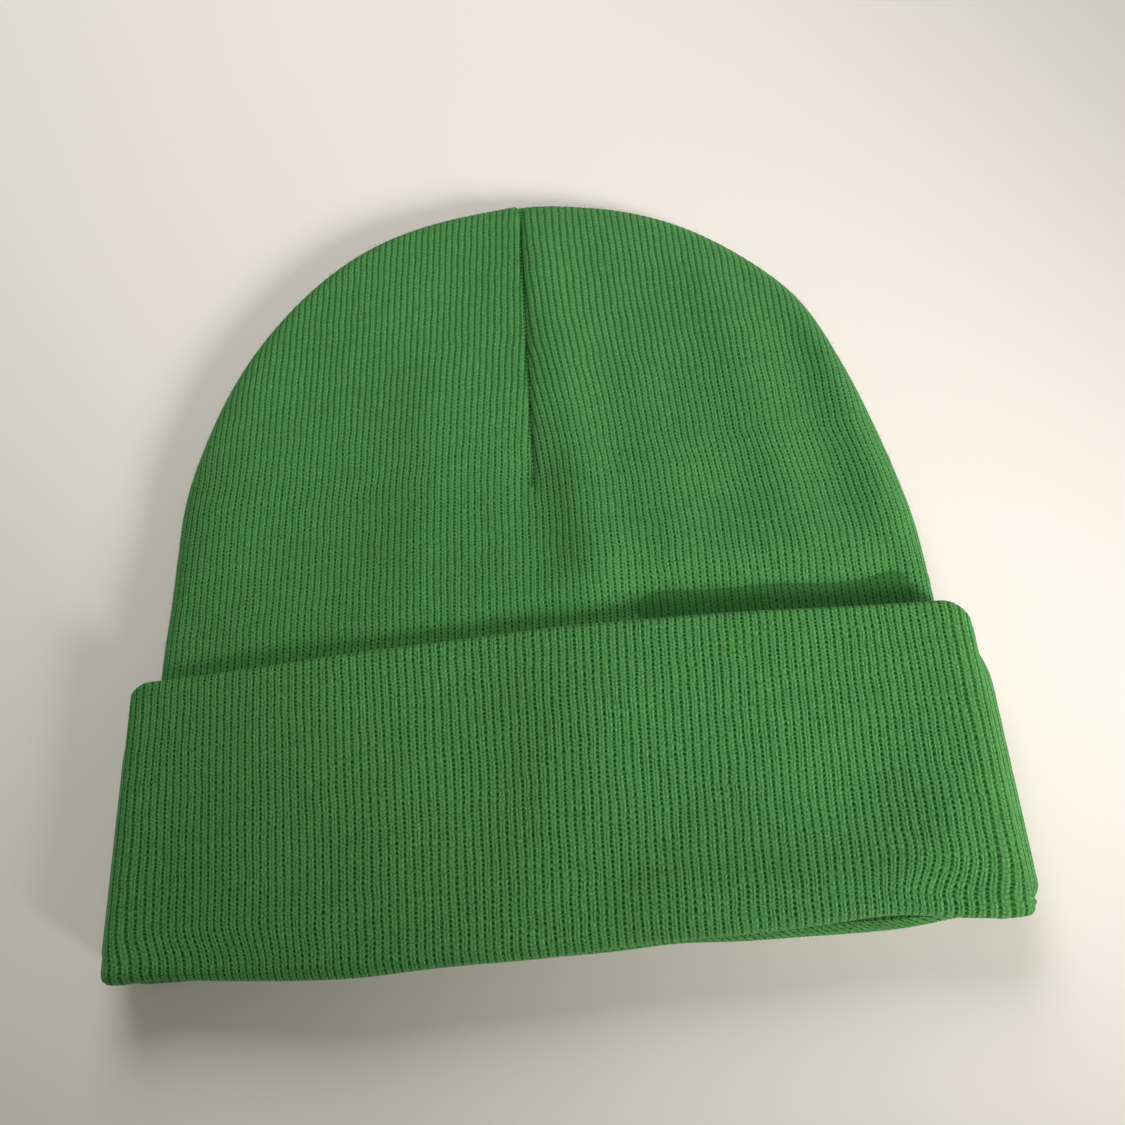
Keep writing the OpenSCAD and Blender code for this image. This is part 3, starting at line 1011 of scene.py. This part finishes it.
def grow(tree, source, name, **settings):
    """The tree's result on a copy of the source mesh, as a piece of plain mesh."""
    piece = show(name, source.copy())
    nodes = piece.modifiers.new("nodes", "NODES")
    nodes.node_group = tree
    ids = {s.name: s.identifier for s in tree.interface.items_tree if s.in_out == "INPUT"}
    for label, value in settings.items():
        nodes[ids[label]] = value
    flatten_modifiers(piece)
    shade_smooth(piece.data)
    return piece


def path_mesh(points):
    mesh = bpy.data.meshes.new("path")
    mesh.from_pydata(to_row(points).tolist(), [(i, i + 1) for i in range(len(points) - 1)], [])
    return mesh


def dart_path(layer, lift):
    """The line of the dart on a front or back layer."""
    y = np.linspace(DART_FROM - 2, CROWN_Y - layer.inset - 3, 120)
    points = layer.surface(np.full(len(y), layer.seam_x), y)
    points[:, 2] += layer.facing * lift
    return points


def side_dart_path(layer, side, lift):
    """The line of the dart on the side fold of a layer."""
    y = np.linspace(DART_FROM, CROWN_Y - layer.inset - 4, 120)
    x = layer.outline.reach(layer.outline.line, y, side) + side * lift
    return np.stack([x, y, middle_z(y)], 1)


def tack_mesh(strands=3, rings=13, sides=6):
    """The knot of thread that holds the shell and the liner together at the crown."""
    low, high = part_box("crown_tack")
    middle = (low + high) / 2
    radius = (high.x - low.x) / 2
    length = (high.y - low.y) / 2
    verts, faces = [], []
    for ply in range(strands):
        first = len(verts)
        for i in range(rings):
            t = i / (rings - 1)
            turn = math.tau * (t * 1.2 + ply / strands)
            out = radius * 0.45
            centre = Vector((math.cos(turn) * out, (t * 2 - 1) * length, math.sin(turn) * out))
            for k in range(sides):
                a = math.tau * k / sides
                verts.append(middle + centre + Vector((math.cos(a), 0, math.sin(a))) * radius * 0.48)
        for i in range(rings - 1):
            for k in range(sides):
                a, b = first + i * sides + k, first + i * sides + (k + 1) % sides
                faces.append((a, a + sides, b + sides, b))
        faces.append([first + k for k in range(sides)])
        faces.append([len(verts) - 1 - k for k in range(sides)])
    mesh = bpy.data.meshes.new("crown_tack_knot")
    mesh.from_pydata(verts, [], faces)
    return mesh


# ---- The hat
def dress(piece, material, nodes=()):
    """Gives a piece its material and slot, and hides the CAD solids that it stands for."""
    piece.data.materials.clear()
    piece.data.materials.append(material)
    if nodes:
        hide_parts(*nodes)
    return piece


def make_materials():
    groups = {"yarn": yarn_group(), "rib": rib_group()}
    # Each finish's tones: the yarn's own tone, painted shade for the grooves, painted shade for the holes,
    # and a painted highlight for the stitches' legs.
    tones = {
        "shell": ((53, 114, 52), (27, 86, 26), (5, 60, 4), (80, 138, 78)),
        "cuff": ((52, 110, 48), (30, 89, 27), (4, 60, 3), (85, 143, 82)),
        "liner": ((44, 98, 43), (30, 78, 29), (17, 58, 16), (58, 116, 57)),
    }
    paint = {}
    for word, own in tones.items():
        paint[word] = knit_material(word + "_knit", groups, *(colour(*tone) for tone in own))
    paint["seam"] = thread_material("seam_thread", groups, colour(40, 94, 39))
    paint["fibre"] = thread_material("loose_fibre", groups, colour(66, 130, 65), sheen=0.0)
    return paint


def build_body(paint):
    front = BodySide(1)
    back = BodySide(-1, shape=back_shape)
    pieces = [
        dress(front.build("shell_front_upper", UNDER_CUFF), paint["shell"], ["outer_shell"]),
        dress(front.build("shell_front_lower", 0, UNDER_CUFF, per_rib=2), paint["shell"]),
        dress(back.build("shell_back", 0, per_rib=2), paint["shell"]),
    ]
    for facing, name in ((1, "liner_front"), (-1, "liner_back")):
        liner = BodySide(facing, PLY, plain_shape, inside=True).build(name, 0, per_rib=1)
        pieces.append(dress(liner, paint["liner"], ["inner_liner"] if facing > 0 else []))
    for piece in pieces:
        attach(piece, "crown")
    return front, back, pieces


def build_cuff(paint):
    made = {}
    for word, half, fine in (("front", CuffSide(1, front_fold_y, cuff_face_shape), 0.5),
                             ("back", CuffSide(-1, back_fold_y, cuff_back_shape), 1.0)):
        body, sign = f"cuff_{word}", half.facing
        face = half.build(f"cuff_{word}_outside", 0, ROLL_ROWS, 4, fine)
        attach(dress(face, paint["cuff"], [f"cuff_{word}_face"]), body)
        inner = half.build(f"cuff_{word}_inside", ROLL_ROWS, INNER_ROWS, 2, 1.0, 0.7)
        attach(dress(inner, paint["cuff"], [f"cuff_{word}_inner"]), body)
        fold = half.build(f"{word}_turn", FOLD_ROWS, 0, 4, 0.5)
        dress(fold, paint["cuff"], [f"{word}_turn_fold"])
        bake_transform(fold)
        made[word] = (face, inner, fold)
    for word, side in (("left", -1), ("right", 1)):
        length = (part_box(f"cuff_{word}_side_fold")[1].y - TURN_Y) / MM
        wall = side_wall(f"cuff_{word}_side", side, length)
        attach(dress(wall, paint["cuff"], [f"cuff_{word}_side_fold"]), f"cuff_{word}")
        turn = side_turn(f"{word}_side_turn", side, length)
        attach(dress(turn, paint["cuff"]), "crown")
        made[word] = (wall, turn)
    return made


def build_seams(paint, front, back):
    stitches = stitch_tree()
    liner = {1: BodySide(1, PLY, plain_shape), -1: BodySide(-1, PLY, plain_shape)}
    jobs = []
    for facing, word, shell in ((1, "front", front), (-1, "back", back)):
        jobs.append((f"shell_{word}_dart_seam", dart_path(shell, 0.15), (1, 0, 0)))
        jobs.append((f"liner_{word}_dart_seam", dart_path(liner[facing], -0.25), (1, 0, 0)))
    for side, word in ((-1, "left"), (1, "right")):
        jobs.append((f"shell_{word}_dart_seam", side_dart_path(front, side, -0.5), (0, 0, 1)))
        jobs.append((f"liner_{word}_dart_seam", side_dart_path(liner[1], side, -0.5), (0, 0, 1)))
    for node, points, across in jobs:
        path = path_mesh(points)
        name = node.replace("_seam", "_stitches")
        piece = grow(stitches, path, name, Across=across, Material=paint["seam"])
        bpy.data.meshes.remove(path)
        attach(dress(piece, paint["seam"], [node]), "crown")
    knot = show("crown_knot", tack_mesh())
    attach(dress(knot, paint["seam"], ["crown_tack"]), "crown")


def build_fibres(paint, sources):
    tree, made = fibre_tree(), []
    for source, body, seed in sources:
        piece = grow(tree, source.data, source.name + "_fibres", Seed=seed, Material=paint["fibre"])
        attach(piece, body)
        made.append(piece)
    return made


add_camera()
add_floor()
add_surroundings()
paint = make_materials()
front, back, body = build_body(paint)
cuff = build_cuff(paint)
build_seams(paint, front, back)
fibres = build_fibres(paint, [(body[0], "crown", 3), (cuff["front"][0], "cuff_front", 7)])
